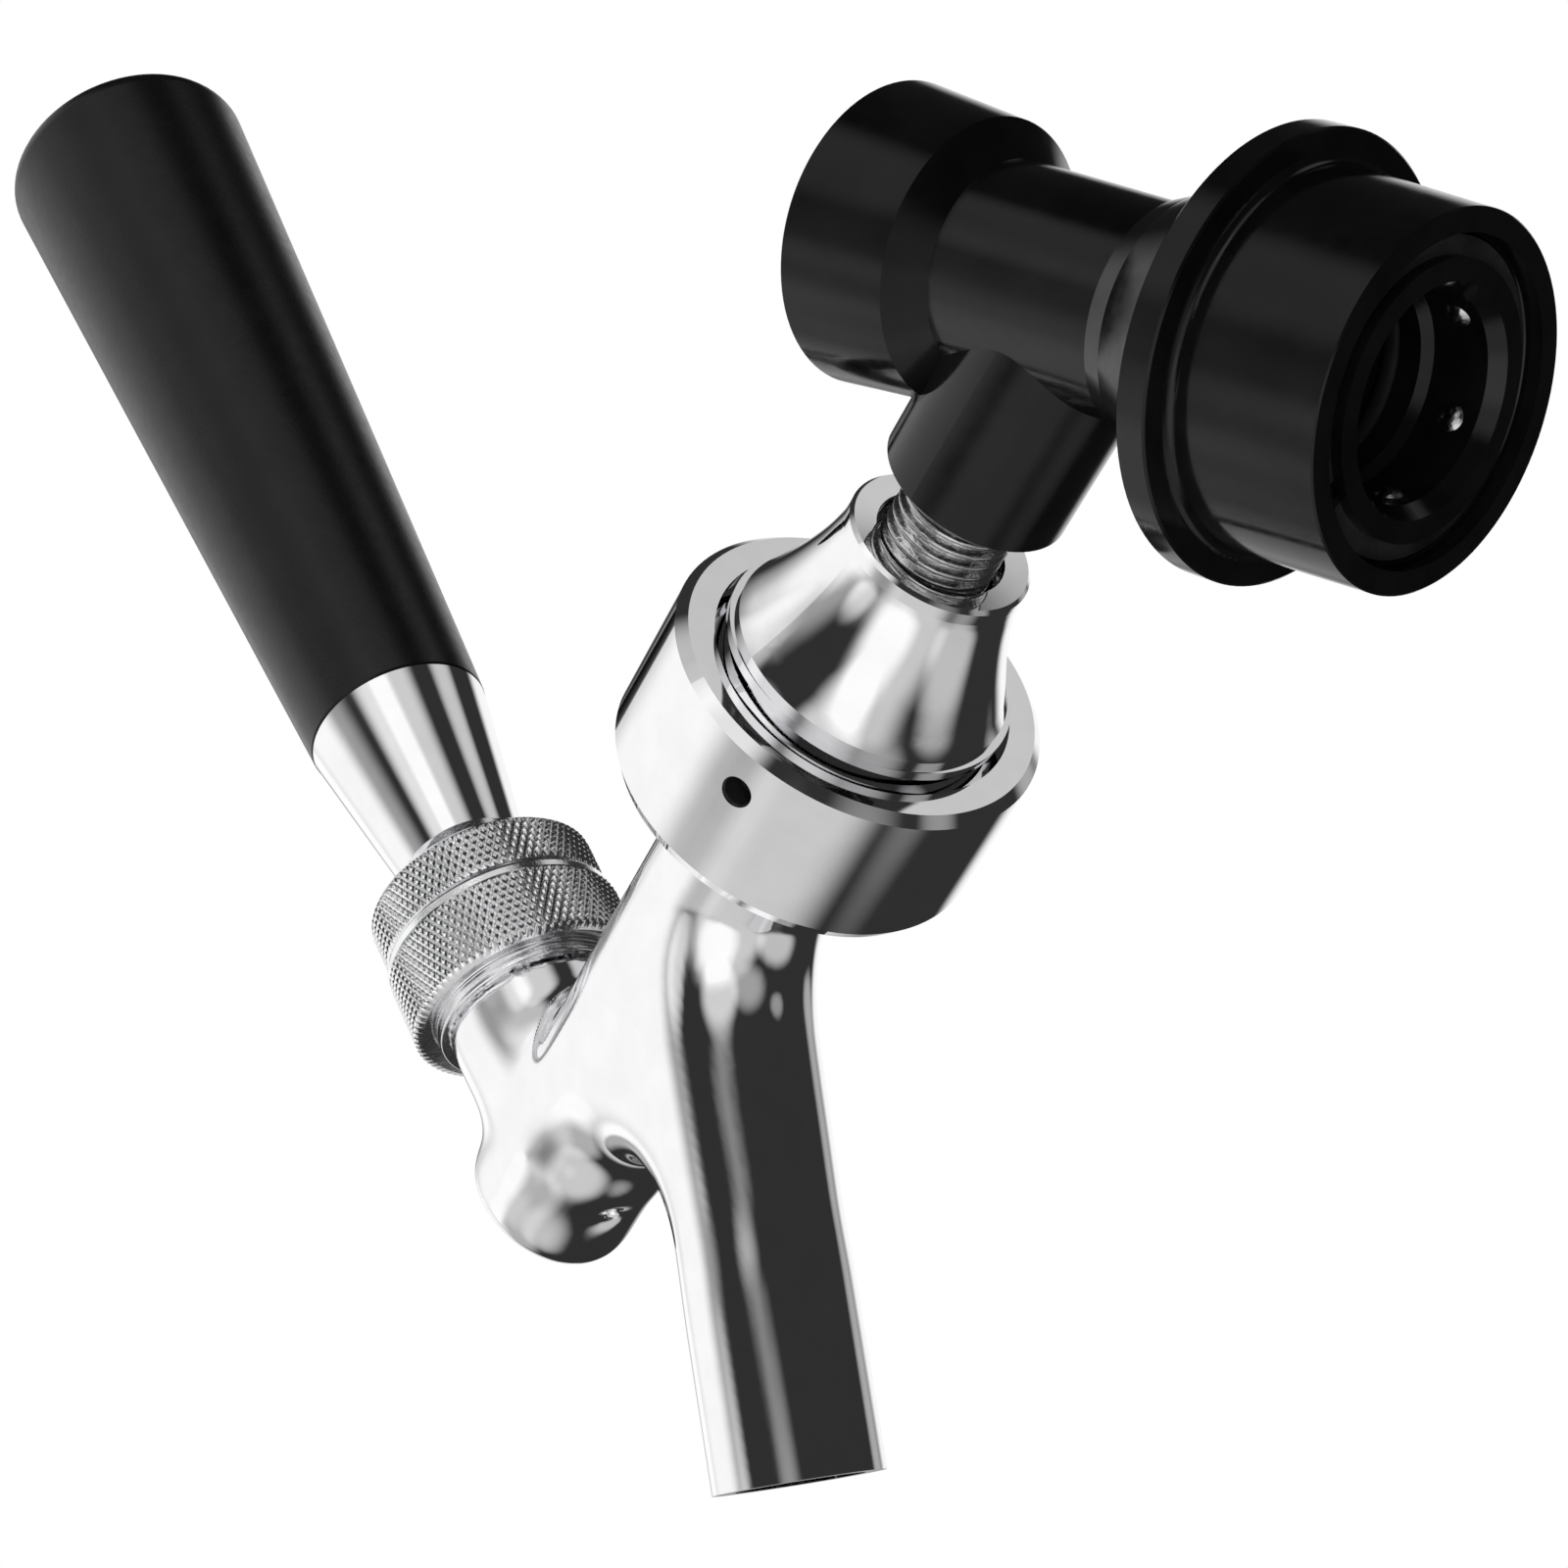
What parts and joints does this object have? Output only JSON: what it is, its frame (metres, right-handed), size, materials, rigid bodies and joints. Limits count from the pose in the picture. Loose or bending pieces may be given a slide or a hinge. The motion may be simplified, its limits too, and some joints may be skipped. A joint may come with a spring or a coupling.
{
  "type": "keg coupler",
  "caption": "Ball-lock keg post coupler with a sliding locking sleeve, threaded stud, tapered adapter and a chrome draft faucet with a tapered black lever handle.",
  "frame": {"origin": "on the socket's axis at the lower end of the seal bore, 8.2 mm inside the open rim", "axes": "+Z along the socket's axis, from the open mouth up through the cap; +X is the horizontal direction in which the side branch leans; the branch rises 28.7 degrees in the XZ plane"},
  "size_m": [0.1465, 0.0766, 0.236],
  "materials": {
    "black_plastic": "gloss moulded",
    "grip_plastic": "satin moulded",
    "chrome": "polished chrome plate over brass",
    "stainless": "machined stainless",
    "dark_steel": "black phosphated spring steel",
    "rubber": "satin",
    "nylon": "satin"
  },
  "bodies": {
    "coupler": {"disconnect_body": "black_plastic", "retaining_ring": "dark_steel", "sleeve_spring": "stainless", "socket_o_ring": "rubber", "top_cap": "black_plastic", "cap_gasket": "rubber", "poppet_spring": "stainless", "threaded_stud": "stainless", "stud_gasket": "nylon", "adapter_cone": "chrome", "coupling_washer": "rubber", "tail_ring": "chrome", "faucet_body": "chrome", "ball_cup": "nylon", "friction_washer": "nylon", "compression_bonnet": "chrome", "bonnet_lock_ring": "chrome"},
    "locking_sleeve": {"locking_sleeve": "black_plastic"},
    "poppet": {"poppet_pin": "stainless", "poppet_seal": "rubber"},
    "coupling_nut": {"coupling_nut": "chrome"},
    "handle": {"lever": "chrome", "handle_ferrule": "chrome", "grip": "grip_plastic"},
    "plunger": {"plunger_shaft": "stainless", "valve_washer": "rubber", "valve_nut": "stainless"},
    "ball_1": {"locking_ball_1": "stainless"},
    "ball_2": {"locking_ball_2": "stainless"},
    "ball_3": {"locking_ball_3": "stainless"},
    "ball_4": {"locking_ball_4": "stainless"},
    "ball_5": {"locking_ball_5": "stainless"},
    "ball_6": {"locking_ball_6": "stainless"}
  },
  "joints": [
    {"name": "sleeve_slide", "type": "slide", "parent": "coupler", "child": "locking_sleeve", "axis": [0, 0, 1], "range_m": [0, 0.004], "stiffness_N_per_m": 700, "springref_m": -0.004, "deforming": ["sleeve_spring"]},
    {"name": "poppet_slide", "type": "slide", "parent": "coupler", "child": "poppet", "axis": [0, 0, 1], "range_m": [0, 0.004], "stiffness_N_per_m": 250, "springref_m": -0.005, "deforming": ["poppet_spring"]},
    {"name": "handle_hinge", "type": "hinge", "parent": "coupler", "child": "handle", "pos_m": [0.09545, -0.00529, 0.10425], "axis": [-0.1271, 0.9643, 0.2322], "range_deg": [0, 20]},
    {"name": "plunger_slide", "type": "slide", "parent": "coupler", "child": "plunger", "axis": [-0.8771, 0, -0.4802], "range_m": [0, 0.0072]},
    {"name": "nut_spin", "type": "hinge", "parent": "coupler", "child": "coupling_nut", "pos_m": [0.04337, 0, 0.05375], "axis": [0.8771, 0, 0.4802], "continuous": true},
    {"name": "ball_slide_1", "type": "slide", "parent": "coupler", "child": "ball_1", "axis": [0.4226, -0.9063, 0], "range_m": [0, 0.0007]},
    {"name": "ball_slide_2", "type": "slide", "parent": "coupler", "child": "ball_2", "axis": [0.9962, -0.0872, 0], "range_m": [0, 0.0007]},
    {"name": "ball_slide_3", "type": "slide", "parent": "coupler", "child": "ball_3", "axis": [0.5736, 0.8192, 0], "range_m": [0, 0.0007]},
    {"name": "ball_slide_4", "type": "slide", "parent": "coupler", "child": "ball_4", "axis": [-0.4226, 0.9063, 0], "range_m": [0, 0.0007]},
    {"name": "ball_slide_5", "type": "slide", "parent": "coupler", "child": "ball_5", "axis": [-0.9962, 0.0872, 0], "range_m": [0, 0.0007]},
    {"name": "ball_slide_6", "type": "slide", "parent": "coupler", "child": "ball_6", "axis": [-0.5736, -0.8192, 0], "range_m": [0, 0.0007]}
  ],
  "couplings": [
    {"joint": "plunger_slide", "follows": "handle_hinge", "m_per_rad": 0.02},
    {"joint": "ball_slide_1", "follows": "sleeve_slide", "ratio": 0.1625},
    {"joint": "ball_slide_2", "follows": "sleeve_slide", "ratio": 0.1625},
    {"joint": "ball_slide_3", "follows": "sleeve_slide", "ratio": 0.1625},
    {"joint": "ball_slide_4", "follows": "sleeve_slide", "ratio": 0.1625},
    {"joint": "ball_slide_5", "follows": "sleeve_slide", "ratio": 0.1625},
    {"joint": "ball_slide_6", "follows": "sleeve_slide", "ratio": 0.1625}
  ]
}
